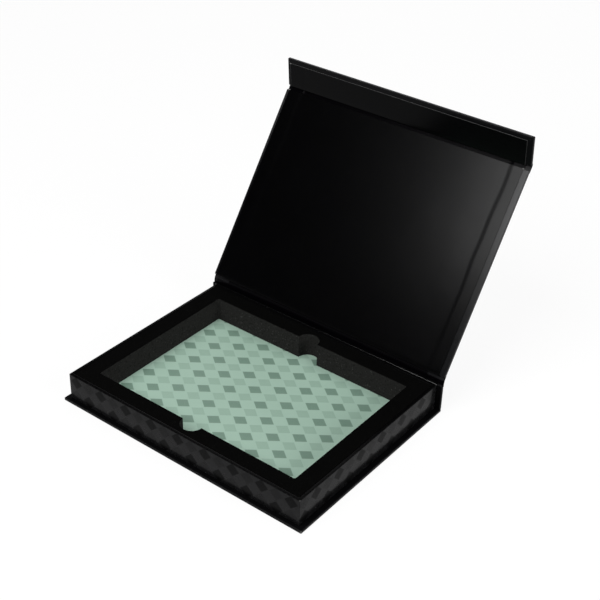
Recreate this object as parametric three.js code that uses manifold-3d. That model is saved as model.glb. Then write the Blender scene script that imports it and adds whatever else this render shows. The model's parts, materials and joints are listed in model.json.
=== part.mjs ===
import * as THREE from 'three';
import { RoundedBoxGeometry } from 'three/addons/geometries/RoundedBoxGeometry.js';
import { mergeVertices } from 'three/addons/utils/BufferGeometryUtils.js';
import Module from 'manifold-3d';

// A rigid gift box for papers and keepsakes. One cover of paper-wrapped board makes the base, the
// spine, the lid and a magnetic closing flap, and a wrapped tray with a foam insert is glued into it.
// Lengths are in millimetres and +Z is up. The origin is the centre of the base at its underside,
// +X runs to the right along the front and +Y runs back to the spine. The lid stands half open.

// Tray
const trayLength = 240; // outside its papered side walls
const trayDepth = 182; // outside its papered front and back walls
const trayHeight = 24.5; // above the base, up to the rim
const trayBoard = 2;
const floorBoard = 1.5;
const stayLeg = 20; // how far a corner tape reaches along each wall
const stayTape = 0.15;
const trayTurnUnder = 15;
const trayTurnIn = 18;
const glueLine = 0.1; // between the fixed layers of the tray

// Foam insert and what lies under it
const floorCard = 0.25;
const foamClearance = 0.3; // between the foam and the tray's walls
const foamCorner = 1.5;
const foamSideRim = 14.95; // foam left between the pocket and each side
const foamFrontRim = 13.95; // and at the front and back
const pocketCorner = 1.2;
const notchRadius = 9.8;

// Cover
const coverBoard = 2;
const sideOverhang = 4.7; // base and lid past the tray's side walls
const coverTurnIn = 16.5;
const paper = 0.15;
const glueGap = 0.2; // between a board and its paper
const softEdge = 0.35; // radius of a papered edge
const mitreSlit = 0.3; // between two turned-in edges where they meet at a corner
const linerInset = 4; // from a panel's edges to its liner
const linerShift = -1.2; // the liner is laid a little to the left
const linerTail = 15; // down the inside of the spine

// Hinges and closing
const lidOpening = THREE.MathUtils.degToRad(124.35); // from the closed lid
const flapFold = THREE.MathUtils.degToRad(39); // from flat with the lid
const hingeGap = 3.1; // from the hinge axis to the lid panel
const flapStart = 0.5; // from the fold axis to the flap panel
const foldClearance = 1.45; // between the lid panel's end and the flap folded square
const lidClearance = 0.3; // between the closed lid and the rim
const flapClearance = 0.45; // between the closed flap and the tray's front
const spineClearance = 0.45; // between the spine and the tray's back
const flapFloorGap = 0.7; // between the closed flap and the base
const joinGap = 0.1; // between a hinge strip's end and the paper that it carries on

// Magnets
const magnetDiameter = 12;
const magnetSpacing = 150;
const magnetFit = 0.2; // round a magnet in its hole
const magnetDepthShare = 0.75; // of the board that it is let into
const magnetDropShare = 0.52; // of the flap's length, from the fold

// Steps and overrun
const bendSteps = 8;
const roundSteps = 6;
const edgeSteps = 2;
const magnetSides = 32;
const overrun = 1; // how far a cut runs past a face

// Thicknesses that the layers add up to
const skin = paper + glueGap;
const wrapped = coverBoard + 2 * skin; // a board and its wrap
const panel = wrapped + skin; // with its liner
const trayWall = 2 * paper + 3 * glueLine + stayTape + trayBoard;
const wallInset = paper + 2 * glueLine + stayTape; // from the tray's outside to its boards

// Places in the closed cover
const halfWidth = trayLength / 2 + sideOverhang;
const coverDepth = trayDepth + 2 * panel + flapClearance + spineClearance;
const frontEdge = -coverDepth / 2;
const spineFace = coverDepth / 2;
const trayFront = frontEdge + panel + flapClearance;
const trayBack = spineFace - panel - spineClearance;
const trayMiddle = (trayFront + trayBack) / 2;
const rim = wrapped + trayHeight;
const hingeHeight = rim + lidClearance + panel;
const lidLength = coverDepth;
const lidEnd = lidLength - panel - foldClearance;
const flapLength = hingeHeight - wrapped - flapFloorGap;
const windowHalf = halfWidth - coverTurnIn;
const linerWidth = 2 * (halfWidth - linerInset);

// Heights of the layers in the tray
const trayBottom = wrapped + glueLine;
const floorBottom = trayBottom + paper + glueLine;
const floorTop = floorBottom + floorBoard;
const wallBottom = floorTop + glueLine;
const wallTop = rim - paper - glueLine;
const cardTop = wallBottom + floorCard;
const foamBottom = cardTop + glueLine;
const foamHalfX = trayLength / 2 - trayWall - foamClearance;
const foamHalfY = (trayBack - trayFront) / 2 - trayWall - foamClearance;

// Magnets meet where the closed flap covers the tray's front wall
const magnetDrop = flapLength * magnetDropShare;
const magnetHeight = hingeHeight - magnetDrop;
const sides = [
  { name: 'left', sign: -1 },
  { name: 'right', sign: 1 },
];
const ends = [
  { name: 'front', sign: -1 },
  { name: 'back', sign: 1 },
];

const greyBoard = { color: 0x8b877f, roughness: 0.95, metalness: 0 };
const blackPaper = { color: 0x101012, roughness: 0.4, metalness: 0 };
const blackLiner = { color: 0x131315, roughness: 0.32, metalness: 0 };
const tonalPaper = { color: 0x2b2b2d, roughness: 0.5, metalness: 0 };
const kraftTape = { color: 0xa98657, roughness: 0.85, metalness: 0 };
const mintCard = { color: 0xa4c2b1, roughness: 0.55, metalness: 0 };
const blackFoam = { color: 0x151515, roughness: 1, metalness: 0 };
const plate = { color: 0xb9babd, roughness: 0.25, metalness: 1 };

const wasm = await Module();
wasm.setup();

// Closed geometry as a solid that can be joined and cut
function toSolid(geometry) {
  const bare = geometry.clone();
  bare.deleteAttribute('normal');
  bare.deleteAttribute('uv');
  const merged = mergeVertices(bare);
  const mesh = new wasm.Mesh({
    numProp: 3,
    vertProperties: new Float32Array(merged.attributes.position.array),
    triVerts: new Uint32Array(merged.index.array),
  });
  return new wasm.Manifold(mesh);
}

// A solid as geometry with flat faces
function toGeometry(solid) {
  const mesh = solid.getMesh();
  const shared = new THREE.BufferGeometry();
  shared.setAttribute('position', new THREE.BufferAttribute(mesh.vertProperties, mesh.numProp));
  shared.setIndex(new THREE.BufferAttribute(mesh.triVerts, 1));
  const faceted = shared.toNonIndexed();
  faceted.computeVertexNormals();
  return faceted;
}

function cut(geometry, ...cutters) {
  return toGeometry(cutters.reduce((solid, cutter) => solid.subtract(toSolid(cutter)), toSolid(geometry)));
}

function join(...geometries) {
  return toGeometry(geometries.map(toSolid).reduce((all, next) => all.add(next)));
}

// A plain block between two opposite corners
function block(low, high) {
  const [width, depth, height] = high.map((value, axis) => value - low[axis]);
  const [x, y, z] = high.map((value, axis) => (value + low[axis]) / 2);
  return new THREE.BoxGeometry(width, depth, height).translate(x, y, z);
}

// A block between two opposite corners with all its edges rounded
function softBlock(low, high, radius) {
  const [width, depth, height] = high.map((value, axis) => value - low[axis]);
  const [x, y, z] = high.map((value, axis) => (value + low[axis]) / 2);
  return new RoundedBoxGeometry(width, depth, height, edgeSteps, radius).translate(x, y, z);
}

// A hollow block of paper, one sheet thick
function paperCase(low, high) {
  const room = softBlock(
    low.map((value) => value + paper),
    high.map((value) => value - paper),
    softEdge - paper,
  );
  return [softBlock(low, high, softEdge), room];
}

// A profile in Y and Z, carried along X about a middle
function acrossX(shape, width, middle) {
  const solid = new THREE.ExtrudeGeometry(shape, { depth: width, bevelEnabled: false });
  const yAxis = new THREE.Vector3(0, 1, 0);
  const zAxis = new THREE.Vector3(0, 0, 1);
  const xAxis = new THREE.Vector3(1, 0, 0);
  solid.applyMatrix4(new THREE.Matrix4().makeBasis(yAxis, zAxis, xAxis));
  return solid.translate(middle - width / 2, 0, 0);
}

function outline(points) {
  return new THREE.Shape(points.map(([u, v]) => new THREE.Vector2(u, v)));
}

function addPiece(parent, name, geometry, finish) {
  const mesh = new THREE.Mesh(geometry, new THREE.MeshStandardMaterial(finish));
  mesh.name = name;
  parent.add(mesh);
}

// A diagonal slit through a turned-in sheet at a corner of a panel. Signs say which corner it is.
function mitreCutter(cornerX, cornerY, signX, signY, sheetLow, sheetHigh) {
  const start = softEdge;
  const length = (coverTurnIn - start) * Math.SQRT2;
  const reach = (coverTurnIn + start) / 2;
  const height = sheetHigh - sheetLow;
  const slit = new THREE.BoxGeometry(length, mitreSlit, height);
  slit.rotateZ(Math.atan2(-signY, -signX));
  return slit.translate(cornerX - signX * reach, cornerY - signY * reach, sheetLow + height / 2);
}

// Base: the wrap covers the underside and all four edges, and is turned in on the top face
function makeBase(parent) {
  const low = [-halfWidth, frontEdge, 0];
  const high = [halfWidth, spineFace, wrapped];
  const [paperBody, room] = paperCase(low, high);
  const window = block(
    [-windowHalf, frontEdge + coverTurnIn, paper],
    [windowHalf, spineFace - paper, wrapped + overrun],
  );
  const slits = sides.map(({ sign }) =>
    mitreCutter(sign * halfWidth, frontEdge, sign, -1, wrapped - paper - glueGap, wrapped + overrun),
  );
  addPiece(parent, 'base_wrap', cut(paperBody, room, window, ...slits), blackPaper);
  const board = block(
    low.map((value) => value + skin),
    high.map((value) => value - skin),
  );
  addPiece(parent, 'base_board', board, greyBoard);
}

// Spine: glued up against the tray's back wall, with the liner's tail over its top and down inside
function makeSpine(parent) {
  const bottom = wrapped + glueLine;
  const low = [-halfWidth, spineFace - wrapped, bottom];
  const high = [halfWidth, spineFace, rim - skin];
  const [paperBody, room] = paperCase(low, high);
  const window = block(
    [-windowHalf, spineFace - wrapped - overrun, bottom - overrun],
    [windowHalf, spineFace - paper, rim + overrun],
  );
  addPiece(parent, 'spine_wrap', cut(paperBody, room, window), blackPaper);
  const board = block(
    low.map((value) => value + skin),
    high.map((value) => value - skin),
  );
  addPiece(parent, 'spine_board', board, greyBoard);

  const inside = spineFace - panel;
  const lip = spineFace - paper - skin;
  const tail = outline([
    [lip, rim],
    [inside, rim],
    [inside, rim - linerTail],
    [inside + paper, rim - linerTail],
    [inside + paper, rim - paper],
    [lip, rim - paper],
  ]);
  addPiece(parent, 'spine_liner', acrossX(tail, linerWidth, linerShift), blackLiner);
}

// A two-ply strip of wrap and liner that bends round the corner where two panels' outer faces meet
function hingeStrip(start, corner, end) {
  const curve = new THREE.QuadraticBezierCurve(start, corner, end);
  const ply = 2 * paper;
  const outer = curve.getPoints(bendSteps);
  const inner = outer.map((point, step) => {
    const along = curve.getTangent(step / bendSteps);
    return new THREE.Vector2(point.x - along.y * ply, point.y + along.x * ply);
  });
  return acrossX(new THREE.Shape([...outer, ...inner.reverse()]), 2 * halfWidth, 0);
}

function makeLidHinge(parent) {
  const reach = hingeGap + skin - joinGap;
  const start = new THREE.Vector2(spineFace, rim - skin + joinGap);
  const corner = new THREE.Vector2(spineFace, hingeHeight);
  const end = new THREE.Vector2(
    spineFace - reach * Math.cos(lidOpening),
    hingeHeight + reach * Math.sin(lidOpening),
  );
  addPiece(parent, 'lid_hinge_strip', hingeStrip(start, corner, end), blackPaper);
}

// Tray wrap: up the outside of the walls, over the rim and down inside, and turned under the floor
function makeTrayWrap(parent) {
  const low = [-trayLength / 2, trayFront, trayBottom];
  const high = [trayLength / 2, trayBack, rim];
  const ring = (inset, bottom, top) => block(
    [low[0] + inset, low[1] + inset, bottom],
    [high[0] - inset, high[1] - inset, top],
  );
  const [paperBody, room] = paperCase(low, high);
  const inside = cut(
    ring(trayWall - paper, rim - trayTurnIn, rim - paper / 2),
    ring(trayWall, rim - trayTurnIn - overrun, rim + overrun),
  );
  const mouth = ring(trayWall, trayBottom + paper, rim + overrun);
  const under = ring(trayTurnUnder, trayBottom - overrun, rim);
  addPiece(parent, 'tray_wrap', join(cut(paperBody, room, mouth, under), inside), tonalPaper);
}

function magnetHole(board, y) {
  const radius = magnetDiameter / 2 + magnetFit;
  const drill = new THREE.CylinderGeometry(radius, radius, board + 2 * overrun, magnetSides);
  return sides.map(({ sign }) => drill.clone().translate((sign * magnetSpacing) / 2, y, magnetHeight));
}

// Tray: a floor board, four wall boards that stand on it and a tape round each corner
function makeTray(parent) {
  const right = trayLength / 2 - wallInset;
  const front = trayFront + wallInset;
  const back = trayBack - wallInset;
  const floor = block([-right, front, floorBottom], [right, back, floorTop]);
  addPiece(parent, 'tray_floor_board', floor, greyBoard);

  const frontBoard = block([-right, front, wallBottom], [right, front + trayBoard, wallTop]);
  const holes = magnetHole(trayBoard, front + trayBoard / 2);
  addPiece(parent, 'tray_front_board', cut(frontBoard, ...holes), greyBoard);
  const backBoard = block([-right, back - trayBoard, wallBottom], [right, back, wallTop]);
  addPiece(parent, 'tray_back_board', backBoard, greyBoard);

  const sideFront = front + trayBoard + glueLine;
  const sideBack = back - trayBoard - glueLine;
  for (const { name, sign } of sides) {
    const near = Math.min(sign * right, sign * (right - trayBoard));
    const wall = block([near, sideFront, wallBottom], [near + trayBoard, sideBack, wallTop]);
    addPiece(parent, `tray_${name}_board`, wall, greyBoard);
  }

  for (const end of ends) {
    for (const side of sides) {
      const stay = cornerStay(side.sign, end.sign);
      addPiece(parent, `corner_stay_${end.name}_${side.name}`, stay, kraftTape);
    }
  }

  const magnetThickness = trayBoard * magnetDepthShare;
  for (const { name, sign } of sides) {
    const magnet = magnetDisc(magnetThickness);
    magnet.translate((sign * magnetSpacing) / 2, front + trayBoard / 2, magnetHeight);
    addPiece(parent, `front_magnet_${name}`, magnet, plate);
  }
}

// A tape folded round the outside of one corner of the wall boards
function cornerStay(signX, signY) {
  const outset = paper + glueLine;
  const x = trayLength / 2 - outset;
  const y = (trayBack - trayFront) / 2 - outset;
  const fold = outline(
    [
      [x, y],
      [x - stayLeg, y],
      [x - stayLeg, y - stayTape],
      [x - stayTape, y - stayTape],
      [x - stayTape, y - stayLeg],
      [x, y - stayLeg],
    ].map(([u, v]) => [signX * u, signY * v]),
  );
  const tape = new THREE.ExtrudeGeometry(fold, { depth: wallTop - wallBottom, bevelEnabled: false });
  return tape.translate(0, trayMiddle, wallBottom);
}

// A magnet with its axis along Y
function magnetDisc(thickness) {
  return new THREE.CylinderGeometry(magnetDiameter / 2, magnetDiameter / 2, thickness, magnetSides);
}

function roundedRectangle(path, halfX, halfY, radius) {
  path.absarc(halfX - radius, halfY - radius, radius, 0, Math.PI / 2, false);
  path.absarc(radius - halfX, halfY - radius, radius, Math.PI / 2, Math.PI, false);
  path.absarc(radius - halfX, radius - halfY, radius, Math.PI, 1.5 * Math.PI, false);
  path.absarc(halfX - radius, radius - halfY, radius, 1.5 * Math.PI, 2 * Math.PI, false);
  path.closePath();
  return path;
}

// The pocket's outline, with a half-round thumb notch in the middle of each long edge
function pocketOutline() {
  const x = foamHalfX - foamSideRim;
  const y = foamHalfY - foamFrontRim;
  const r = pocketCorner;
  const path = new THREE.Path();
  path.absarc(x - r, y - r, r, 0, Math.PI / 2, false);
  path.absarc(0, y, notchRadius, 0, Math.PI, false);
  path.absarc(r - x, y - r, r, Math.PI / 2, Math.PI, false);
  path.absarc(r - x, r - y, r, Math.PI, 1.5 * Math.PI, false);
  path.absarc(0, -y, notchRadius, Math.PI, 2 * Math.PI, false);
  path.absarc(x - r, r - y, r, 1.5 * Math.PI, 2 * Math.PI, false);
  path.closePath();
  return path;
}

// Insert: a printed card on the tray's floor, and a foam frame whose pocket shows it
function makeInsert(parent) {
  const cardInset = trayWall + glueLine;
  const card = block(
    [-trayLength / 2 + cardInset, trayFront + cardInset, wallBottom],
    [trayLength / 2 - cardInset, trayBack - cardInset, cardTop],
  );
  addPiece(parent, 'floor_card', card, mintCard);

  const frame = roundedRectangle(new THREE.Shape(), foamHalfX, foamHalfY, foamCorner);
  frame.holes.push(pocketOutline());
  const foam = new THREE.ExtrudeGeometry(frame, {
    depth: rim - foamBottom,
    curveSegments: roundSteps,
    bevelEnabled: false,
  });
  addPiece(parent, 'foam_insert', foam.translate(0, trayMiddle, foamBottom), blackFoam);
}

// Lid, drawn closed: the axis of its hinge is the origin, its outer face is at Z 0 and it runs to -Y
function makeLid(parent) {
  const lid = new THREE.Group();
  lid.position.set(0, spineFace, hingeHeight);
  lid.rotation.x = -lidOpening;
  parent.add(lid);

  const low = [-halfWidth, skin - lidEnd, -wrapped];
  const high = [halfWidth, -hingeGap - skin, 0];
  const [paperBody, room] = paperCase(low, high);
  const window = block([-windowHalf, -lidLength, -wrapped - overrun], [windowHalf, 0, -paper]);
  addPiece(lid, 'lid_wrap', cut(paperBody, room, window), blackPaper);
  const board = block(
    low.map((value) => value + skin),
    high.map((value) => value - skin),
  );
  addPiece(lid, 'lid_board', board, greyBoard);

  const foot = -paper - skin;
  const liner = outline([
    [-hingeGap, foot],
    [-hingeGap - paper, foot],
    [-hingeGap - paper, paper - panel],
    [paper - lidEnd, paper - panel],
    [paper - lidEnd, foot],
    [-lidEnd, foot],
    [-lidEnd, -panel],
    [-hingeGap, -panel],
  ]);
  addPiece(lid, 'lid_liner', acrossX(liner, linerWidth, linerShift), blackLiner);

  const reach = flapStart + skin - joinGap;
  const start = new THREE.Vector2(skin - lidEnd - joinGap, 0);
  const corner = new THREE.Vector2(-lidLength, 0);
  const end = new THREE.Vector2(
    -lidLength - reach * Math.cos(flapFold),
    -reach * Math.sin(flapFold),
  );
  addPiece(lid, 'flap_hinge_strip', hingeStrip(start, corner, end), blackPaper);
  return lid;
}

// Flap, drawn flat with the lid: the axis of its fold is the origin and it runs to -Y
function makeFlap(lid) {
  const flap = new THREE.Group();
  flap.position.set(0, -lidLength, 0);
  flap.rotation.x = flapFold;
  lid.add(flap);

  const low = [-halfWidth, -flapLength, -wrapped];
  const high = [halfWidth, -flapStart - skin, 0];
  const [paperBody, room] = paperCase(low, high);
  const window = block([-windowHalf, coverTurnIn - flapLength, -wrapped - overrun], [windowHalf, 0, -paper]);
  const slits = sides.map(({ sign }) =>
    mitreCutter(sign * halfWidth, -flapLength, sign, -1, -wrapped - overrun, paper + glueGap - wrapped),
  );
  addPiece(flap, 'flap_wrap', cut(paperBody, room, window, ...slits), blackPaper);

  const middle = -wrapped / 2;
  const board = block(
    low.map((value) => value + skin),
    high.map((value) => value - skin),
  );
  const radius = magnetDiameter / 2 + magnetFit;
  const drill = new THREE.CylinderGeometry(radius, radius, coverBoard + 2 * overrun, magnetSides);
  drill.rotateX(Math.PI / 2);
  const holes = sides.map(({ sign }) =>
    drill.clone().translate((sign * magnetSpacing) / 2, -magnetDrop, middle),
  );
  addPiece(flap, 'flap_board', cut(board, ...holes), greyBoard);

  const foot = -paper - skin;
  const linerEnd = linerInset - flapLength;
  const liner = outline([
    [-flapStart, foot],
    [-flapStart - paper, foot],
    [-flapStart - paper, paper - panel],
    [linerEnd, paper - panel],
    [linerEnd, -panel],
    [-flapStart, -panel],
  ]);
  addPiece(flap, 'flap_liner', acrossX(liner, linerWidth, linerShift), blackLiner);

  for (const { name, sign } of sides) {
    const magnet = magnetDisc(coverBoard * magnetDepthShare).rotateX(Math.PI / 2);
    magnet.translate((sign * magnetSpacing) / 2, -magnetDrop, middle);
    addPiece(flap, `flap_magnet_${name}`, magnet, plate);
  }
}

const giftBox = new THREE.Group();
makeBase(giftBox);
makeSpine(giftBox);
makeTray(giftBox);
makeTrayWrap(giftBox);
makeInsert(giftBox);
makeLidHinge(giftBox);
makeFlap(makeLid(giftBox));

export default giftBox;
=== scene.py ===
import json

import bpy
import numpy as np
from mathutils import Matrix, Vector


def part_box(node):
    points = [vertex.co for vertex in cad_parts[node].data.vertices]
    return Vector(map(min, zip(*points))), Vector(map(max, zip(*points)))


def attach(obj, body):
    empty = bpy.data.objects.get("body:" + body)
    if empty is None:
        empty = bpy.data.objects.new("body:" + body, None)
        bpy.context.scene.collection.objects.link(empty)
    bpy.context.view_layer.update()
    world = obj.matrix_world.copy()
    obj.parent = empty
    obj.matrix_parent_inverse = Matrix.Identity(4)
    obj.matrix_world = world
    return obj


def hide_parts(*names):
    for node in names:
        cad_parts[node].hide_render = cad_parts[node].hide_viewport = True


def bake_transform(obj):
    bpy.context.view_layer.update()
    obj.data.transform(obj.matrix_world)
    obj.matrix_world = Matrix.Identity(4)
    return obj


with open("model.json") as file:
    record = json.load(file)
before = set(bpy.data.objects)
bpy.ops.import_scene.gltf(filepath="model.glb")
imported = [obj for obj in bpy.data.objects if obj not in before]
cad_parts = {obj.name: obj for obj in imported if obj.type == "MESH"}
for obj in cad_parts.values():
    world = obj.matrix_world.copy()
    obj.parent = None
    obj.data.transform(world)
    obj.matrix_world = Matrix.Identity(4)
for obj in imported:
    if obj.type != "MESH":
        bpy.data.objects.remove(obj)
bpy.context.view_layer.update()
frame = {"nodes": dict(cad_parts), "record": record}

# Lengths are in metres, and most are written as millimetres times MM. Colours are linear.
MM = 0.001

# Thicknesses of the sheets and panels. A skin is a liner with its glue, and a panel is a board with its
# wrap and its liner.
PAPER = 0.15 * MM
GLUE_GAP = 0.2 * MM
SKIN = PAPER + GLUE_GAP
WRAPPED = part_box("base_wrap")[1].z
PANEL = WRAPPED + SKIN

# The cover's width, and how far its paper is turned in: at the cover's own edges, and less at the ends
# that meet another panel, least of all on the narrow panels. At the seam a liner sinks off that paper.
HALF_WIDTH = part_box("lid_wrap")[1].x
TURN_IN = 16.5 * MM
SMALL_TURN_IN = 6 * MM
NARROW_TURN_IN = 3 * MM
WINDOW_HALF = HALF_WIDTH - TURN_IN
SEAM = WINDOW_HALF + 0.3 * MM

# The radii of a papered panel's edges and corners.
EDGE_ROUND = 0.6 * MM
CORNER_ROUND = 0.7 * MM

# The liners, which are laid a little to the left.
LINER_INSET = 4 * MM
LINER_SHIFT = -1.2 * MM
LINER_HALF = HALF_WIDTH - LINER_INSET
LINER_TAIL = 15 * MM

# The height of the foam's top, where the spine's liner ends too.
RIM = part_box("foam_insert")[1].z

# Where the lid and the flap begin and end along the cover.
HINGE_GAP = 3.1 * MM
FOLD_CLEARANCE = 1.45 * MM
FLAP_START = 0.5 * MM
FLAP_LENGTH = 27.15 * MM

# The gap between a panel's paper and the curve of a fold, which the fold's lap runs across.
JOIN_GAP = 0.1 * MM

# The core of black paper, where a wrap's corner is worn, and a pale grey painted as a glint at a liner's
# corners.
WORN_CORE = (0.14, 0.14, 0.135)
LINER_GLINT = (0.36, 0.36, 0.35)


class Panel:
    """One leaf of the cover: a point on its outer face, a unit direction along it and one inwards."""

    def __init__(self, origin, along):
        self.origin = np.array(origin)
        self.along = np.array(along)
        self.inward = np.array([0, -self.along[2], self.along[1]])

    def outer(self, distance):
        """A place on the outer face, in Y and Z."""
        return self.origin[1:] + self.along[1:] * distance

    def points(self, x, distance, depth):
        """Places in the room, from arrays of places on the panel: origin + along distance + inward depth."""
        flat = self.along[1:] * distance[..., None] + self.inward[1:] * depth[..., None] + self.origin[1:]
        return np.concatenate([np.broadcast_to(x, distance.shape)[..., None], flat], axis=-1)


# The joints' axes in the record. The lid's outer face runs from one to the other.
JOINTS = {joint["name"]: joint for joint in frame["record"]["behaviour"]["joints"]}
LID_AXIS = np.array(JOINTS["lid_hinge"]["pos_m"])
FLAP_AXIS = np.array(JOINTS["flap_fold"]["pos_m"])
LID_LENGTH = float(np.linalg.norm(FLAP_AXIS - LID_AXIS))
LID_END = LID_LENGTH - PANEL - FOLD_CLEARANCE
FLAP_END = FLAP_LENGTH - LINER_INSET

# How far the flap is folded at rest: at its joint's lower limit it is flat with the lid.
FLAP_FOLD = np.radians(-JOINTS["flap_fold"]["range_deg"][0])

BASE = Panel((0, -LID_AXIS[1], 0), (0, 1, 0))
SPINE = Panel((0, LID_AXIS[1], 0), (0, 0, 1))
LID = Panel(LID_AXIS, (FLAP_AXIS - LID_AXIS) / LID_LENGTH)
FLAP = Panel(FLAP_AXIS, LID.along * np.cos(FLAP_FOLD) + LID.inward * np.sin(FLAP_FOLD))


# Shader maths

class Value:
    """A socket with a number, a vector, a colour or a shader. Operators on a number add Math nodes."""

    def __init__(self, paint, socket):
        self.paint = paint
        self.socket = socket

    def math(self, operation, *others):
        return self.paint.node("ShaderNodeMath", {"operation": operation}, (self, *others))

    def __add__(self, other):
        return self.math("ADD", other)

    __radd__ = __add__

    def __sub__(self, other):
        return self.math("SUBTRACT", other)

    def __rsub__(self, other):
        return self.paint.node("ShaderNodeMath", {"operation": "SUBTRACT"}, (other, self))

    def __mul__(self, other):
        return self.math("MULTIPLY", other)

    __rmul__ = __mul__

    def __truediv__(self, other):
        return self.math("DIVIDE", other)

    def __mod__(self, other):
        return self.math("FLOORED_MODULO", other)

    def __abs__(self):
        return self.math("ABSOLUTE")

    def least(self, other):
        return self.math("MINIMUM", other)

    def most(self, other):
        return self.math("MAXIMUM", other)

    def above(self, limit, softness):
        """0 below the limit and 1 above it, smoothly over the softness on both sides."""
        settings = {"interpolation_type": "SMOOTHSTEP"}
        return self.paint.node("ShaderNodeMapRange", settings, (self, limit - softness, limit + softness))

    def near(self, place, reach):
        """1 at the place and 0 beyond the reach, smoothly."""
        return 1 - abs(self - place).above(reach / 2, reach / 2)


class Paint:
    """A material, built up from Object coordinates."""

    # The Mix node's sockets for colours, which share their names with others.
    FIRST_COLOUR, SECOND_COLOUR, MIXED_COLOUR = 6, 7, 2

    def __init__(self, name, **constants):
        self.constants = {socket.replace("_", " "): constant for socket, constant in constants.items()}
        self.material = bpy.data.materials.new(name)
        self.material.use_nodes = True
        self.tree = self.material.node_tree
        self.tree.nodes.clear()
        self.place = self.node("ShaderNodeTexCoord", {}, (), output="Object")
        parts = self.node("ShaderNodeSeparateXYZ", {}, (self.place,)).socket.node.outputs
        self.x, self.y, self.z = (Value(self, part) for part in parts)

    def node(self, kind, settings, sockets, output=0):
        """Adds a node: its settings first, then the values or links of its sockets, which are given in
        their order or by their names. Gives one of its outputs, if it has any."""
        node = self.tree.nodes.new(kind)
        for setting, choice in settings.items():
            setattr(node, setting, choice)
        named = sockets if isinstance(sockets, dict) else dict(enumerate(sockets))
        for key, value in named.items():
            if isinstance(value, Value):
                self.tree.links.new(value.socket, node.inputs[key])
            else:
                node.inputs[key].default_value = value
        return Value(self, node.outputs[output]) if node.outputs else None

    def along(self, direction, origin):
        """How far a point lies from the origin in a unit direction."""
        settings = {"operation": "DOT_PRODUCT"}
        distance = self.node("ShaderNodeVectorMath", settings, (self.place, tuple(direction)), output="Value")
        return distance - float(np.dot(direction, origin))

    def noise(self, size, detail=2, stretch=(1, 1, 1)):
        """Noise from 0 to 1 whose blotches are about as large as the size."""
        place = self.node("ShaderNodeMapping", {}, {"Vector": self.place, "Scale": stretch})
        sockets = {"Vector": place, "Scale": 1 / size, "Detail": detail}
        return self.node("ShaderNodeTexNoise", {}, sockets, output="Fac")

    def cells(self, size):
        """Distance from the middle of the nearest cell, from 0 up to about 1."""
        sockets = {"Vector": self.place, "Scale": 1 / size}
        return self.node("ShaderNodeTexVoronoi", {}, sockets, output="Distance")

    def mix(self, mask, first, second):
        """The first colour where the mask is 0 and the second where it is 1."""
        first, second = ((*colour, 1) if isinstance(colour, tuple) else colour for colour in (first, second))
        sockets = {"Factor": mask, self.FIRST_COLOUR: first, self.SECOND_COLOUR: second}
        return self.node("ShaderNodeMix", {"data_type": "RGBA"}, sockets, output=self.MIXED_COLOUR)

    def surface(self, shader):
        """The material, with the shader as its surface."""
        self.node("ShaderNodeOutputMaterial", {}, {"Surface": shader})
        return self.material

    def finish(self, colour, roughness, height, coat=None):
        """The material, with one Principled shader. Height is in metres, and coat is how much of the
        surface is varnished."""
        bump = self.node("ShaderNodeBump", {}, {"Strength": 1.0, "Distance": 1.0, "Height": height})
        sockets = {**self.constants, "Base Color": colour, "Roughness": roughness, "Normal": bump}
        if coat:
            sockets["Coat Weight"] = coat
        return self.surface(self.node("ShaderNodeBsdfPrincipled", {}, sockets))


# Papers of the cover and the tray

def grain(paint, depth=0.0022 * MM):
    """The fine tooth of coated paper, and the slow waves of a sheet glued on board."""
    tooth = paint.noise(0.35 * MM, detail=3)
    waves = paint.noise(38 * MM, detail=1)
    return tooth * depth + waves * (0.06 * MM)


def black_paper(
    name, panel, ends, mitres=(), gloss=0.15, roughness=0.165, tone=1.0, wear=0.0, handled=None,
):
    """Black cover paper. The tone multiplies its blacks, it is rubbed a little paler along the panel's
    edges, and the wear is how far its corners are worn. The mitres are the ends whose turned-in corners
    meet in a diagonal seam. The last argument is the middle and the half width of a step in distance,
    beyond which the inside is painted paler all over, and more near its edges: a painted sheen."""
    deep = tuple(tone * part for part in (0.0014, 0.0014, 0.0016))
    faded = tuple(tone * part for part in (0.0034, 0.0034, 0.0038))
    rubbed, handled_black = (0.034, 0.034, 0.035), (0.046, 0.046, 0.047)

    paint = Paint(name, Specular_IOR_Level=gloss)
    distance = paint.along(panel.along, panel.origin)
    side = HALF_WIDTH - abs(paint.x)
    end = abs(distance - ends[0]).least(abs(distance - ends[1]))
    patches = paint.noise(2.2 * MM, detail=4).above(0.57, 0.12)
    rub = (1 - side.least(end).above(0.5 * MM, 0.3 * MM)) * (0.3 + patches * 0.7)
    inside = paint.along(panel.inward, panel.origin).above(WRAPPED / 2, WRAPPED / 4)
    height = grain(paint)
    for mitre in mitres:
        seam = 1 - abs(side - abs(distance - mitre)).above(0.18 * MM, 0.12 * MM)
        height = height - seam * inside * (0.06 * MM)
    colour = paint.mix(paint.noise(24 * MM, detail=3), deep, faded)
    colour = paint.mix(rub * 0.3, colour, rubbed)
    # Painted sheen: the inside is paler towards the far end.
    if handled:
        share = distance.above(*handled) * inside
        colour = paint.mix(share * (0.4 + rub * 0.6), colour, handled_black)
    if wear:
        colour = paint.mix((side + end).near(0, 1.6 * MM) * wear, colour, WORN_CORE)
    roughness = roughness + paint.noise(5 * MM, detail=4) * 0.06 + rub * 0.12
    return paint.finish(colour, roughness, height)


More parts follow.
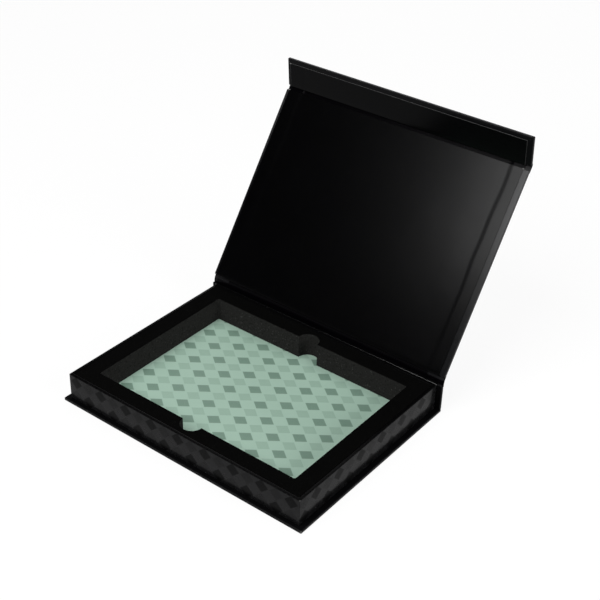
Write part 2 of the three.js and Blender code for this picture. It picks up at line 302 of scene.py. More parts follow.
def black_liner(name, panel, gloss=0.125, pale_cut=None, frayed=(), frayed_end=0):
    """Black liner paper. The pale cut is the distance at which its cut edge is paler, and then its sides
    are too: partly the paper's pale core, partly a painted glint. Its corners at the given end, on the
    given sides (-1 or 1 in X), carry a painted glint."""
    deep, faded, cut_core_and_glint = (0.0002, 0.0002, 0.0003), (0.0007, 0.0007, 0.0009), (0.075, 0.075, 0.075)

    paint = Paint(name, Specular_IOR_Level=gloss)
    distance = paint.along(panel.along, panel.origin)
    colour = paint.mix(paint.noise(30 * MM, detail=3), deep, faded)
    if pale_cut:
        # The paler cut edge is partly the paper's pale core and partly a painted glint.
        cut = distance.above(pale_cut - 0.26 * MM, 0.10 * MM)
        side_cut = abs(paint.x - LINER_SHIFT).above(LINER_HALF - 0.40 * MM, 0.15 * MM)
        colour = paint.mix(cut.most(side_cut * 0.35), colour, cut_core_and_glint)
    # A painted glint at the liner's corners at the given end.
    for sign in frayed:
        corner = LINER_HALF - (paint.x - LINER_SHIFT) * sign + frayed_end - distance
        colour = paint.mix(corner.near(0, 1.7 * MM), colour, LINER_GLINT)
    roughness = 0.170 + paint.noise(7 * MM, detail=4) * 0.03
    return paint.finish(colour, roughness, grain(paint, depth=0.0016 * MM))


def strip_paper(name, gloss, sheen_from=None):
    """Paper pressed into a groove, with fine creases along it. From a height on it is painted paler over
    the turned-in ends: a painted sheen."""
    deep, faded, pale = (0.0004, 0.0003, 0.0006), (0.0014, 0.0011, 0.0018), (0.012, 0.012, 0.013)

    paint = Paint(name, Specular_IOR_Level=gloss)
    crease = paint.noise(0.9 * MM, detail=4, stretch=(0.06, 1, 1))
    colour = paint.mix(crease, deep, faded)
    # Painted sheen: paler over the ends, above a height.
    if sheen_from:
        ends = abs(paint.x).above(WINDOW_HALF, 0.5 * MM) * paint.z.above(sheen_from, 0.7 * MM)
        colour = paint.mix(ends * 0.7, colour, pale)
    return paint.finish(colour, 0.20 + crease * 0.10, grain(paint) + crease * (0.03 * MM))


def lozenges(u, v, width, height, gap, softness):
    """Rows of lozenges, a full row then an empty one: a mask of the darker ones and one of the paler.
    The lozenges are the cells that the whole numbers of p = u / width + v / height and of
    q = u / width - v / height cut out, dark where both are even and pale where both are odd."""
    across, up = u / width, v / height
    p, q = across + up, across - up
    from_middle = abs(p % 1 - 0.5).most(abs(q % 1 - 0.5))
    inside = 1 - from_middle.above(0.5 - gap, softness)
    odd_p, odd_q = ((value.math("FLOOR") % 2).above(0.5, 0.1) for value in (p, q))
    dark = inside * (1 - odd_p) * (1 - odd_q)
    pale = inside * odd_p * odd_q
    return dark, pale


def mint_card():
    """Printed card: sage lozenges on mint, with a light satin sheen."""
    mint, light_mint = (0.278, 0.405, 0.328), (0.306, 0.438, 0.358)
    pale_sage, sage, white_fibre = (0.228, 0.340, 0.272), (0.138, 0.222, 0.172), (0.50, 0.62, 0.55)

    paint = Paint("mint_card", Specular_IOR_Level=0.35)
    dark, pale = lozenges(paint.x, paint.y, width=17 * MM, height=13 * MM, gap=0.06, softness=0.025)
    fibre = paint.noise(0.5 * MM, detail=4)
    colour = paint.mix(paint.noise(45 * MM), mint, light_mint)
    colour = paint.mix(pale * 0.8, colour, pale_sage)
    colour = paint.mix(dark, colour, sage)
    colour = paint.mix(fibre.above(0.62, 0.1) * 0.10, colour, white_fibre)
    roughness = 0.5 + fibre * 0.12 - dark * 0.06
    height = fibre * (0.006 * MM) + paint.noise(50 * MM, detail=1) * (0.08 * MM)
    return paint.finish(colour, roughness, height)


def tonal_paper():
    """The tray's paper: varnished, with two rows of dull lozenges that run on round the corners. The
    paper is lapped near the corners and mitred on the rim, and the rim's corners are worn."""
    dull, varnished, rubbed = (0.0014, 0.0014, 0.0015), (0.0065, 0.0065, 0.0069), (0.022, 0.022, 0.022)
    above_foot = 5.5 * MM

    paint = Paint("tonal_paper", Specular_IOR_Level=0.03, Coat_Roughness=0.09)
    low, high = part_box("tray_wrap")
    round_tray, up_wall = paint.x + paint.y, paint.z - low.z - above_foot
    dark, pale = lozenges(round_tray, up_wall, width=14 * MM, height=13 * MM, gap=0.04, softness=0.03)
    drop = high.z - paint.z
    side = high.x - abs(paint.x)
    end = (high.y - low.y) / 2 - abs(paint.y - (high.y + low.y) / 2)
    wall = drop.above(0.7 * MM, 0.3 * MM)
    varnish = wall * (1 - dark * 0.85) * (1 - pale * 0.3)
    rim_edge = 1 - (drop + side.least(end)).above(0.5 * MM, 0.3 * MM)
    rub = rim_edge * paint.noise(2 * MM, detail=4).above(0.54, 0.12)
    colour = paint.mix(varnish, dull, varnished)
    colour = paint.mix(rub * 0.2, colour, rubbed)
    colour = paint.mix((drop + side + end).near(0, 1.8 * MM) * 0.6, colour, WORN_CORE)
    mitre = 1 - abs(side - end).above(0.15 * MM, 0.10 * MM)
    lap = end.above(3.0 * MM, 0.12 * MM)
    roughness = 0.24 + paint.noise(4 * MM, detail=4) * 0.08 + dark * 0.06
    height = grain(paint) - mitre * (1 - wall) * (0.05 * MM) - lap * (0.05 * MM)
    return paint.finish(colour, roughness, height, coat=varnish * 0.13)


# Finishes of the other pieces

def foam_finish():
    """Black foam: a dull skin on top, and cut walls with open cells that are greyer. The top's far darker
    colours are partly the skin's own and partly painted shade, and dark pits on the walls are painted shade.
    """
    cut_cell, cut_edge, cut_cloud = (0.032, 0.031, 0.030), (0.016, 0.0155, 0.015), (0.015, 0.0145, 0.014)
    pit_shade, glint = (0.009, 0.009, 0.009), (0.075, 0.075, 0.072)
    skin_cell, skin_edge = (0.0021, 0.0021, 0.0020), (0.0009, 0.0009, 0.0009)
    skin_cloud, dust = (0.0026, 0.0026, 0.0025), (0.010, 0.010, 0.010)

    paint = Paint("black_foam", Specular_IOR_Level=0.01)
    cells = paint.cells(0.55 * MM)
    large_cells = paint.cells(1.7 * MM)
    top = paint.z.above(RIM - 0.7 * MM, 0.35 * MM)
    speck = paint.noise(1.5 * MM).above(0.68, 0.05)
    pit = paint.noise(1.9 * MM).above(0.60, 0.06)
    cloud = paint.noise(12 * MM, detail=3)
    wall = paint.mix(cells, cut_cell, cut_edge)
    wall = paint.mix(cloud * 0.4, wall, cut_cloud)
    # Dark pits with no depth in the bump: painted shade.
    wall = paint.mix(pit * 0.6, wall, pit_shade)
    wall = paint.mix(speck * 0.7, wall, glint)
    # The top's colours are far darker than the walls': partly the skin's own colour, partly painted shade.
    skin = paint.mix(cells, skin_cell, skin_edge)
    skin = paint.mix(cloud * 0.5, skin, skin_cloud)
    skin = paint.mix(speck * 0.3, skin, dust)
    height = speck * (0.05 * MM) - cells * (0.10 * MM) - large_cells * (0.10 * MM)
    return paint.finish(paint.mix(top, wall, skin), 0.88 + cells * 0.1, height)


def grey_board():
    """Greyboard: pulp with dark and pale fibres."""
    dark_pulp, pale_pulp, dark_fleck = (0.24, 0.23, 0.205), (0.36, 0.345, 0.31), (0.10, 0.095, 0.085)

    paint = Paint("grey_board", Specular_IOR_Level=0.2)
    fibre = paint.noise(1.4 * MM, detail=5, stretch=(0.35, 1, 1))
    fleck = paint.noise(0.8 * MM, detail=3).above(0.66, 0.05)
    colour = paint.mix(fibre, dark_pulp, pale_pulp)
    colour = paint.mix(fleck * 0.6, colour, dark_fleck)
    return paint.finish(colour, 0.85 + fibre * 0.1, fibre * (0.05 * MM))


def kraft_tape():
    """Gummed kraft tape, with fibres along its length."""
    dark_kraft, pale_kraft = (0.30, 0.17, 0.075), (0.48, 0.29, 0.13)

    paint = Paint("kraft_tape", Specular_IOR_Level=0.3)
    fibre = paint.noise(1.0 * MM, detail=5, stretch=(1, 1, 0.2))
    colour = paint.mix(fibre, dark_kraft, pale_kraft)
    return paint.finish(colour, 0.62 + fibre * 0.15, fibre * (0.02 * MM))


def magnet_plate():
    """Nickel plate with fine scuffs."""
    dark_nickel, pale_nickel = (0.56, 0.56, 0.57), (0.66, 0.66, 0.67)

    paint = Paint("magnet_plate", Metallic=1.0)
    scuff = paint.noise(0.6 * MM, detail=5, stretch=(1, 0.15, 1))
    colour = paint.mix(scuff, dark_nickel, pale_nickel)
    return paint.finish(colour, 0.18 + scuff * 0.2, scuff * (0.003 * MM))


# Meshes, paths and sections, worked out with numpy

def make_mesh(name, points, faces):
    """A piece with smooth faces that point outwards, and sharp edges where faces meet at over 50 degrees."""
    mesh = bpy.data.meshes.new(name)
    mesh.from_pydata(points.reshape(-1, 3).tolist(), [], faces)
    mesh.validate()
    mesh.shade_smooth()
    mesh.set_sharp_from_angle(angle=np.radians(50))
    face_outwards(mesh)
    piece = bpy.data.objects.new(name, mesh)
    bpy.context.scene.collection.objects.link(piece)
    return piece


def face_outwards(mesh):
    """Turns all faces round where the sum of a . (b x c) over the triangles, six volumes, is negative."""
    mesh.calc_loop_triangles()
    points = np.empty(len(mesh.vertices) * 3)
    mesh.vertices.foreach_get("co", points)
    corners = np.empty(len(mesh.loop_triangles) * 3, dtype=np.int32)
    mesh.loop_triangles.foreach_get("vertices", corners)
    a, b, c = points.reshape(-1, 3)[corners.reshape(-1, 3)].transpose(1, 0, 2)
    if np.sum(a * np.cross(b, c)) < 0:
        mesh.flip_normals()


def closed_grid(name, grid):
    """A piece from points[around, across], joined end to end both ways."""
    index = np.arange(grid[..., 0].size).reshape(grid.shape[:2])
    right = np.roll(index, -1, axis=0)
    quads = np.stack([index, right, np.roll(right, -1, axis=1), np.roll(index, -1, axis=1)], axis=-1)
    return make_mesh(name, grid, quads.reshape(-1, 4).tolist())


def capped_grid(name, grid):
    """A piece from points[around, along], joined end to end around and closed by a face at each end."""
    index = np.arange(grid[..., 0].size).reshape(grid.shape[:2])
    right = np.roll(index, -1, axis=0)
    quads = np.stack([index[:, :-1], right[:, :-1], right[:, 1:], index[:, 1:]], axis=-1)
    caps = [index[::-1, 0].tolist(), index[:, -1].tolist()]
    return make_mesh(name, grid, quads.reshape(-1, 4).tolist() + caps)


def arc(centre, radius, start, end, steps):
    """Points on a circle between two angles, given in quarter turns: centre + radius (cos a, sin a).
    The end is left out."""
    turn = np.radians(90 * np.linspace(start, end, steps, endpoint=False))
    return np.array(centre) + radius * np.stack([np.cos(turn), np.sin(turn)], axis=-1)


def line(start, end, steps):
    """Points on a line: start (1 - t) + end t. The end is left out."""
    share = np.linspace(0, 1, steps, endpoint=False)[:, None]
    return np.array(start) * (1 - share) + np.array(end) * share


def spread(path, gap):
    """The path with points added evenly where two of its points lie further apart than the gap."""
    steps = np.ceil(np.linalg.norm(np.diff(path, axis=0), axis=1) / gap).astype(int)
    parts = [line(start, end, count) for start, end, count in zip(path, path[1:], steps)]
    return np.concatenate(parts + [path[-1:]])


def turned(points, radius, steps=7):
    """A path through points whose corners are arcs: start + radius (sin a ahead + (1 - cos a) aside)."""
    points = np.array(points, dtype=float)
    path = [points[:1]]
    for before, corner, after in zip(points, points[1:], points[2:]):
        ahead = (corner - before) / np.linalg.norm(corner - before)
        onward = (after - corner) / np.linalg.norm(after - corner)
        turn = np.arccos(ahead @ onward)
        aside = (onward - ahead * np.cos(turn)) / np.sin(turn)
        angle = np.linspace(0, turn, steps)[:, None]
        start = corner - ahead * radius * np.tan(turn / 2)
        path.append(start + radius * (np.sin(angle) * ahead + (1 - np.cos(angle)) * aside))
    return np.concatenate(path + [points[-1:]])


def bisectors(before, after):
    """Where two unit normals meet, the direction halfway between them, as long as an even offset by 1
    needs it: 2 s / s . s, where s is their sum."""
    summed = before + after
    return 2 * summed / np.sum(summed * summed, axis=1, keepdims=True)


def outline_normals(points):
    """Outward offsets of a closed outline that runs anticlockwise."""
    ahead = np.roll(points, -1, axis=0) - points
    ahead /= np.linalg.norm(ahead, axis=1, keepdims=True)
    normals = np.stack([ahead[:, 1], -ahead[:, 0]], axis=-1)
    return bisectors(normals, np.roll(normals, 1, axis=0))


def sheet_section(path, thickness):
    """The closed section of a sheet: its outer path, and the way back at the path's left."""
    ahead = np.diff(path, axis=0)
    ahead /= np.linalg.norm(ahead, axis=1, keepdims=True)
    left = np.stack([-ahead[:, 1], ahead[:, 0]], axis=-1)
    offset = bisectors(np.concatenate([left[:1], left]), np.concatenate([left, left[-1:]]))
    return np.concatenate([path, (path + offset * thickness)[::-1]])


def ring(half_x, low, high, radius):
    """A rectangle with quarter circles at its corners, as points in X and a distance. Every ring has the
    same number of points."""
    corner_steps, side_steps = 5, 25
    radius = min(radius, half_x, (high - low) / 2)
    x, top, foot = half_x - radius, high - radius, low + radius
    centres = [((x, top), 0), ((-x, top), 1), ((-x, foot), 2), ((x, foot), 3)]
    parts = []
    for (centre, quarter), (after, _) in zip(centres, centres[1:] + centres[:1]):
        angle = np.pi / 2 * (quarter + 1)
        out = radius * np.array([np.cos(angle), np.sin(angle)])
        parts.append(arc(centre, radius, quarter, quarter + 1, corner_steps))
        parts.append(line(np.array(centre) + out, np.array(after) + out, side_steps))
    return np.concatenate(parts)


def mirrored(half):
    """Places on both sides of the middle, from places that start at 0."""
    return np.concatenate([-half[:0:-1], half])


def level_rings(rings):
    """A grid from pairs of a flat outline and its height."""
    return np.stack([np.column_stack([flat, np.full(len(flat), level)]) for flat, level in rings], axis=1)


# The cover

def sink(x, distance):
    """How far a liner lies lower in the middle, where no turned-in paper is under it: a smooth step
    3 t^2 - 2 t^3 in X, whose place wanders as a sum of sines of the distance."""
    depth, width, wandering = 0.10 * MM, 5 * MM, 0.45 * MM
    slow, quick = 17 * MM, 7 * MM
    wander = np.sin(distance / slow + np.sign(x)) + 0.6 * np.sin(distance / quick)
    share = np.clip((np.abs(x) - SEAM + wandering * wander) / width + 0.5, 0, 1)
    return depth * (1 - share * share * (3 - 2 * share))


def liner(name, panel, corners, radius=0.2 * MM, **finish):
    """A liner sheet: a section with round corners, carried along X in steps that are finest over the
    seam, and sunk towards the middle in proportion to its height over its foot."""
    widest_step, apart = 4 * MM, 1 * MM
    fine_from, fine_to = SEAM - 7.5 * MM, SEAM + 9.5 * MM
    section = sheet_section(spread(turned(corners, radius), widest_step), PAPER)
    x = mirrored(np.concatenate([np.linspace(0, fine_from - apart, 21), np.linspace(fine_from, fine_to, 52)]))
    x = np.concatenate([[LINER_SHIFT - LINER_HALF], x, [LINER_SHIFT + LINER_HALF]])
    distance, depth = (np.repeat(row[:, None], len(x), axis=1) for row in section.T)
    foot = section[:, 1].min()
    raised = (depth - foot) / (PANEL - foot)
    piece = capped_grid(name, panel.points(x, distance, depth - sink(x, distance) * raised))
    dress(piece, black_liner(name, panel, **finish))
    return piece


def wrap_section(reach):
    """How a sheet runs over a panel's edge, as rows of inset, share of the turn-in and depth: from the
    reach on the outer face round the edge, over the margin that falls a little outwards, to the
    turn-in's cut end, and back on the inside of the sheet. The edges are quarter circles."""
    outside_row = 8 * MM
    beside_edge, margin = 0.08, 0.2
    fall = 0.03 * MM
    turn = np.radians(np.linspace(0, 90, 8))
    back = EDGE_ROUND - PAPER
    top = WRAPPED - EDGE_ROUND

    def outer_edge(radius, angles):
        return [(EDGE_ROUND - radius * np.sin(a), 0, EDGE_ROUND - radius * np.cos(a)) for a in angles]

    def inner_edge(radius, angles):
        return [(EDGE_ROUND - radius * np.cos(a), 0, top + (radius - fall) * np.sin(a)) for a in angles]

    return [
        (reach, 0, 0),
        (outside_row, 0, 0),
        *outer_edge(EDGE_ROUND, turn),
        *inner_edge(EDGE_ROUND, turn),
        (EDGE_ROUND, beside_edge, WRAPPED - fall * 0.6),
        (EDGE_ROUND, margin, WRAPPED),
        (EDGE_ROUND, 1, WRAPPED),
        (EDGE_ROUND, 1, WRAPPED - PAPER),
        (EDGE_ROUND, margin, WRAPPED - PAPER),
        *inner_edge(back, turn[::-1]),
        *outer_edge(back, turn[::-1]),
        (reach, 0, PAPER),
    ]


def panel_wrap(name, panel, low, high, turn_ins, **finish):
    """Cover paper round a board: a ring of points round the panel is carried from the middle of its
    outside over the edges and in to the window, and closed by a face at each end. On a narrow panel the
    rings on the outside are squeezed, so that those from both edges don't meet. The turn-ins are those
    at the sides, at the low end and at the high end."""
    reach, least_corner = 30 * MM, 0.1 * MM
    narrow_reach = 0.4 * (high - low)
    squeeze = min(1, (narrow_reach - EDGE_ROUND) / (reach - EDGE_ROUND))
    rings = []
    for inset, share, depth in wrap_section(reach):
        side, first, last = (inset + (turn_in - EDGE_ROUND) * share for turn_in in turn_ins)
        back = max(inset - EDGE_ROUND, 0) * (1 - squeeze)
        corner = max(CORNER_ROUND - inset, least_corner)
        place = ring(HALF_WIDTH - side, low + first - back, high - last + back, corner)
        rings.append(panel.points(place[:, 0], place[:, 1], np.full(len(place), depth)))
    piece = capped_grid(name, np.stack(rings, axis=1))
    dress(piece, black_paper(name, panel, (low, high), **finish))
    return piece


def cover():
    """The cover's papers: a wrap on each leaf, and a liner on all but the base, which carries the tray."""
    foot = PAPER + SKIN
    spine_low, spine_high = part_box("spine_wrap")
    base = panel_wrap(
        "base_paper", BASE, 0, 2 * LID_AXIS[1], (TURN_IN, TURN_IN, SMALL_TURN_IN),
        mitres=(0,), gloss=0.04, roughness=0.22, wear=0.6,
    )
    spine = panel_wrap(
        "spine_paper", SPINE, spine_low.z, spine_high.z, (TURN_IN, NARROW_TURN_IN, NARROW_TURN_IN),
        gloss=0.02, roughness=0.22,
    )
    # The lid's blacks are painted paler (tone 1.7), and its inside paler towards the far end: painted sheen.
    lid = panel_wrap(
        "lid_paper", LID, HINGE_GAP + SKIN, LID_END - SKIN, (TURN_IN, SMALL_TURN_IN, SMALL_TURN_IN),
        tone=1.7, handled=(125 * MM, 45 * MM),
    )
    flap = panel_wrap(
        "flap_paper", FLAP, FLAP_START + SKIN, FLAP_LENGTH, (TURN_IN, NARROW_TURN_IN, TURN_IN),
        mitres=(FLAP_LENGTH,), gloss=0.05,
    )
    # The liners' corners at their far ends carry painted glints.
    lid_liner = liner(
        "lid_lining", LID, [(LID_END, foot), (LID_END, PANEL), (HINGE_GAP, PANEL), (HINGE_GAP, foot)],
        frayed=(-1, 1), frayed_end=LID_END,
    )
    flap_liner = liner(
        "flap_lining", FLAP, [(FLAP_END, PANEL), (FLAP_START, PANEL), (FLAP_START, foot)],
        gloss=0.05, pale_cut=FLAP_END, frayed=(-1,), frayed_end=FLAP_END,
    )
    spine_liner = liner(
        "spine_lining", SPINE, [(RIM, foot), (RIM, PANEL), (RIM - LINER_TAIL, PANEL)],
        radius=1.0 * MM, gloss=0.4,
    )
    for piece, node, body in (
        (base, "base_wrap", "tray"),
        (spine, "spine_wrap", "tray"),
        (spine_liner, "spine_liner", "tray"),
        (lid, "lid_wrap", "lid"),
        (lid_liner, "lid_liner", "lid"),
        (flap, "flap_wrap", "flap"),
        (flap_liner, "flap_liner", "flap"),
    ):
        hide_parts(node)
        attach(piece, body)


def folding_strip(name, start, corner, end, sheen_from=None):
    """Two plies of paper that bend round a corner: a quadratic curve in Y and Z,
    start (1 - t)^2 + corner 2 t (1 - t) + end t^2, offset inwards by the plies' thickness. A tanh step
    in X adds a ply at both ends, where the turn-in lies between, and a product of sines makes the
    creases. Where the curve ends the outer ply runs on straight, as a thin lap over the panels."""
    steps = 28
    lap, lap_step, lap_thickness = 1.6 * MM, 0.02 * MM, 0.02 * MM
    proud, turn_in_step = 0.03 * MM, 0.3 * MM
    crease_depth, short_wave, long_wave = 0.05 * MM, 9 * MM, 23 * MM
    middle_to, step_from, step_to, ends_from = (WINDOW_HALF + gap * MM for gap in (-0.2, 0.1, 1.3, 2.8))

    share = np.linspace(0, 1, steps)[:, None]
    start, corner, end = (np.array(point) for point in (start, corner, end))
    curve = start * (1 - share) ** 2 + corner * 2 * share * (1 - share) + end * share ** 2
    ahead = 2 * (corner - start) * (1 - share) + 2 * (end - corner) * share
    ahead /= np.linalg.norm(ahead, axis=1, keepdims=True)
    before = [curve[0] - ahead[0] * lap, curve[0] - ahead[0] * lap_step]
    after = [curve[-1] + ahead[-1] * lap_step, curve[-1] + ahead[-1] * lap]
    curve = np.concatenate([before, curve, after])
    ahead = np.concatenate([ahead[[0, 0]], ahead, ahead[[-1, -1]]])
    inward = np.stack([-ahead[:, 1], ahead[:, 0]], axis=-1)
    lapped = np.array([True] * 2 + [False] * steps + [True] * 2)[:, None]

    x = mirrored(np.concatenate([
        np.linspace(0, middle_to, 37),
        np.linspace(step_from, step_to, 5),
        np.linspace(ends_from, HALF_WIDTH, 9),
    ]))
    turn_in = PAPER * (0.5 + 0.5 * np.tanh((np.abs(x) - WINDOW_HALF) / turn_in_step))
    crease = crease_depth * np.sin(x / short_wave) * np.sin(x / long_wave)
    plies = 2 * PAPER + proud + turn_in + crease
    thickness = np.where(lapped, lap_thickness, plies)[:, :, None]
    outer = np.repeat((curve - inward * proud)[:, None], len(x), axis=1)
    inner = outer + inward[:, None] * thickness
    section = np.concatenate([outer, inner[::-1]])
    across = np.broadcast_to(x, section.shape[:2])[..., None]
    strip = capped_grid(name, np.concatenate([across, section], axis=-1))

    dress(strip, strip_paper(name, gloss=0.08, sheen_from=sheen_from))
    strip.data.materials.append(strip_paper(name + "_lining", gloss=0.03, sheen_from=sheen_from))
    lined_x = np.abs((x[1:] + x[:-1]) / 2 - LINER_SHIFT) < LINER_HALF
    lined_row = np.arange(len(section)) >= len(curve)
    cap_finishes = [0, 0]
    finish = np.concatenate([(lined_row[:, None] & lined_x).ravel(), cap_finishes])
    strip.data.polygons.foreach_set("material_index", finish.astype(np.int32))
    return strip


def hinge_strips():
    """The lid's hinge over the spine's top edge, and the flap's fold at the lid's far edge."""
    low = SPINE.outer(RIM - SKIN + JOIN_GAP)
    high = LID.outer(HINGE_GAP + SKIN - JOIN_GAP)
    # The hinge's ends are painted paler from just above its axis: a painted sheen.
    hinge = folding_strip("lid_hinge_paper", low, LID_AXIS[1:], high, sheen_from=LID_AXIS[2] + 0.4 * MM)
    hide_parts("lid_hinge_strip")
    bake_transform(hinge)

    near = LID.outer(LID_END - SKIN + JOIN_GAP)
    far = FLAP.outer(FLAP_START + SKIN - JOIN_GAP)
    fold = folding_strip("flap_fold_paper", near, FLAP_AXIS[1:], far)
    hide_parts("flap_hinge_strip")
    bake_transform(fold)


# The tray

def tray_paper():
    """The tray's wrap: rings round the tray carried from under its floor up the wall, over the rim and
    down the inside, then back within the sheet."""
    wall = 2.75 * MM
    turned_under = 15 * MM
    turned_inside = 18 * MM
    edge = 0.5 * MM
    corner, least_corner = 0.45 * MM, 0.1 * MM
    low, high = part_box("tray_wrap")
    path = turned([
        (wall, high.z - turned_inside), (wall, high.z), (0, high.z), (0, low.z), (turned_under, low.z),
    ], edge)
    rings = [
        (ring(high.x - inset, low.y + inset, high.y - inset, max(corner - inset, least_corner)), level)
        for inset, level in sheet_section(path, PAPER)
    ]
    piece = closed_grid("tray_paper", level_rings(rings))
    dress(piece, tonal_paper())
    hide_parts("tray_wrap")
    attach(piece, "tray")


def foam_outlines(wide_x, wide_y):
    """The pocket's outline and the foam's, with a point of one for each point of the other: lines, quarter
    circles at the corners, and a half circle as thumb notch in the middle of each long edge."""
    half_x, half_y = 102 * MM, 74 * MM
    notch = 9.8 * MM
    corner, outer_corner = 1.2 * MM, 1.5 * MM
    side_steps, corner_steps, edge_steps, notch_steps = 56, 6, 36, 26
    straight_x, straight_y = half_x - corner, half_y - corner
    reach_x, reach_y = wide_x - outer_corner, wide_y - outer_corner

    inner, outer = [], []
    for sign, quarter in ((1, 0), (-1, 2)):
        side = line((sign * half_x, -sign * straight_y), (sign * half_x, sign * straight_y), side_steps)
        edge = np.concatenate([
            line((sign * straight_x, sign * half_y), (sign * notch, sign * half_y), edge_steps),
            arc((0, sign * half_y), notch, quarter, quarter + 2, notch_steps),
            line((-sign * notch, sign * half_y), (-sign * straight_x, sign * half_y), edge_steps),
        ])
        far_side = np.column_stack([np.full(len(side), sign * wide_x), side[:, 1] * reach_y / straight_y])
        far_edge = np.column_stack([edge[:, 0] * reach_x / straight_x, np.full(len(edge), sign * wide_y)])
        for outline, short, long, x, y, radius in (
            (inner, side, edge, straight_x, straight_y, corner),
            (outer, far_side, far_edge, reach_x, reach_y, outer_corner),
        ):
            first = arc((sign * x, sign * y), radius, quarter, quarter + 1, corner_steps)
            second = arc((-sign * x, sign * y), radius, quarter + 1, quarter + 2, corner_steps)
            outline += [short, first, long, second]
    return np.concatenate(inner), np.concatenate(outer)


def foam_insert():
    """The foam frame: a profile carried round the pocket. It goes up the cut wall, over a small round
    at the top edge, across to the outline in a dip that is half a sine, over the outline's round and
    down the outside. The cut wall waves a little, as a sum of sines along the outline and up the wall."""
    inner_round, outer_round = 0.55 * MM, 0.8 * MM
    wave_depth, dip_depth = 0.07 * MM, 0.12 * MM
    wall_rows, top_rows, round_rows = 9, 9, 6
    low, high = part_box("foam_insert")
    inner, outer = foam_outlines(high.x, high.y)
    away, outward = outline_normals(inner), outline_normals(outer)
    walked = np.linspace(0, 2 * np.pi, len(inner), endpoint=False)
    quarter = np.radians(np.linspace(0, 90, round_rows))
    wall_height = high.z - low.z - inner_round

    rings = []
    for share in np.linspace(0, 1, wall_rows):
        wave = np.sin(walked * 31 + share * 3) + np.sin(walked * 53 - share * 5) * 0.6
        offset = wave_depth * wave * (1 - (2 * share - 1) ** 4)
        rings.append((inner + away * offset[:, None], low.z + share * wall_height))
    for angle in quarter[1:]:
        inset = inner_round * (1 - np.cos(angle))
        rings.append((inner + away * inset, high.z - inner_round * (1 - np.sin(angle))))
    inner_top = inner + away * inner_round
    outer_top = outer - outward * outer_round
    for share in np.linspace(0, 1, top_rows)[1:-1]:
        dip = dip_depth * np.sin(np.pi * share)
        rings.append((inner_top * (1 - share) + outer_top * share, high.z - dip))
    for angle in quarter[::-1]:
        inset = outer_round * (1 - np.cos(angle))
        rings.append((outer - outward * inset, high.z - outer_round * (1 - np.sin(angle))))
    rings.append((outer, low.z))

    foam = closed_grid("foam_frame", level_rings(rings))
    dress(foam, foam_finish())
    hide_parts("foam_insert")
    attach(foam, "tray")


# Dressing the pieces

def dress(piece, material):
    """Gives a new piece one material."""
    piece.data.materials.clear()
    piece.data.materials.append(material)


def dress_nodes():
    """Gives the solids that stay their finishes, by their slots in the record."""
    finishes = {
        "grey_board": grey_board(),
        "kraft_tape": kraft_tape(),
        "magnet_plate": magnet_plate(),
        "mint_card": mint_card(),
    }
    for entry in frame["record"]["subparts"]:
        material = finishes.get(entry["material_slot"])
        if material:
            for slot in frame["nodes"][entry["node"]].material_slots:
                slot.material = material


# The studio

def stage_finish(name, white, shown):
    """A pale stage: the share of it that is shown is its own even light, and the rest keeps the shadow.
    Only the camera and mirrored or refracted rays see that light."""
    paint = Paint(name)
    rays = paint.node("ShaderNodeLightPath", {}, (), output="Is Camera Ray")
    for kind in ("Is Glossy Ray", "Is Transmission Ray"):
        rays = rays.most(paint.node("ShaderNodeLightPath", {}, (), output=kind))
    matt = paint.node("ShaderNodeBsdfPrincipled", {}, {
        "Base Color": (white, white, white, 1), "Roughness": 0.9, "Specular IOR Level": 0.0,
    })
    glow = paint.node("ShaderNodeEmission", {}, {"Color": (1, 1, 1, 1), "Strength": 1.0})
    return paint.surface(paint.node("ShaderNodeMixShader", {}, (rays * shown, matt, glow)))


def ground(radius, height, bend):
    """A round pale floor that bends up into a low pale wall: a path of radius and height, turned round Z."""
    level, hole, thickness = -0.05 * MM, 1 * MM, 50 * MM
    path = turned([(hole, level), (radius, level), (radius, height)], bend, steps=24)
    back = [(radius + thickness, height), (radius + thickness, level - thickness), (hole, level - thickness)]
    turn = np.radians(np.linspace(0, 360, 96, endpoint=False))
    circle = np.stack([np.cos(turn), np.sin(turn)], axis=-1)
    floor = capped_grid("pale_floor", level_rings([(r * circle, z) for r, z in (*path, *back)]))
    dress(floor, stage_finish("pale_floor", white=0.90, shown=0.91))


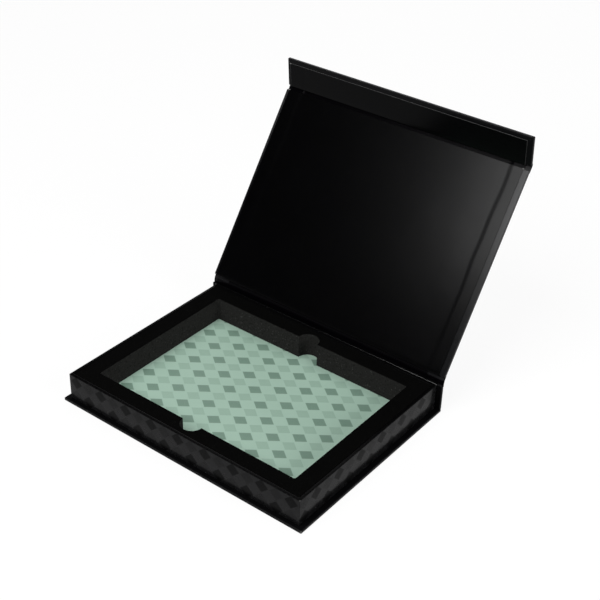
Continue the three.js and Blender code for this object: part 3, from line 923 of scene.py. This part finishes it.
def soft_box(name, place, aim, size, power):
    """A rectangular area lamp that faces a point. Its power is in watts."""
    lamp = bpy.data.lights.new(name, "AREA")
    lamp.shape = "RECTANGLE"
    lamp.size, lamp.size_y = size
    lamp.energy = power
    box = bpy.data.objects.new(name, lamp)
    box.location = place
    box.rotation_euler = (Vector(aim) - Vector(place)).to_track_quat("-Z", "Y").to_euler()
    bpy.context.scene.collection.objects.link(box)


def light():
    """A strong soft box in front and above, and weaker ones overhead, at the right and at the back."""
    soft_box("front_box", place=(-0.19, -1.2, 1.71), aim=(0, 0.1, 0.12), size=(1.23, 1.25), power=41)
    soft_box("top_box", place=(0.3, 0.6, 2.2), aim=(0, 0, 0), size=(1.6, 1.4), power=12)
    soft_box("right_box", place=(2.0, 0.1, 1.1), aim=(0, 0, 0.05), size=(1.0, 1.2), power=24)
    soft_box("back_box", place=(-0.9, 1.9, 1.3), aim=(0, 0.1, 0.1), size=(1.4, 1.0), power=12)
    world = bpy.data.worlds.new("studio")
    world.use_nodes = True
    background = world.node_tree.nodes["Background"]
    background.inputs["Color"].default_value = (1, 1, 1, 1)
    background.inputs["Strength"].default_value = 0.015
    bpy.context.scene.world = world


def camera():
    """The photograph's camera, from a fit of the box's corners in its square frame."""
    frame_pixels, focal_pixels = 600, 1239.31
    place = Vector((0.52061, -0.63005, 0.63402))
    right = Vector((0.78750, 0.61573, 0.02716)).normalized()
    forward = Vector((-0.50554, 0.67052, -0.54299)).normalized()
    up = right.cross(forward)

    lens = bpy.data.cameras.new("camera")
    lens.sensor_width = 36
    lens.lens = lens.sensor_width * focal_pixels / frame_pixels
    lens.clip_start = 10 * MM
    shot = bpy.data.objects.new("camera", lens)
    turn = Matrix((right, up, -forward)).transposed().to_4x4()
    shot.matrix_world = Matrix.Translation(place) @ turn
    bpy.context.scene.collection.objects.link(shot)
    bpy.context.scene.camera = shot


camera()
light()
ground(radius=5.5, height=1.7, bend=1.5)

dress_nodes()
foam_insert()
cover()
tray_paper()
hinge_strips()

bpy.context.scene.view_settings.view_transform = "Standard"
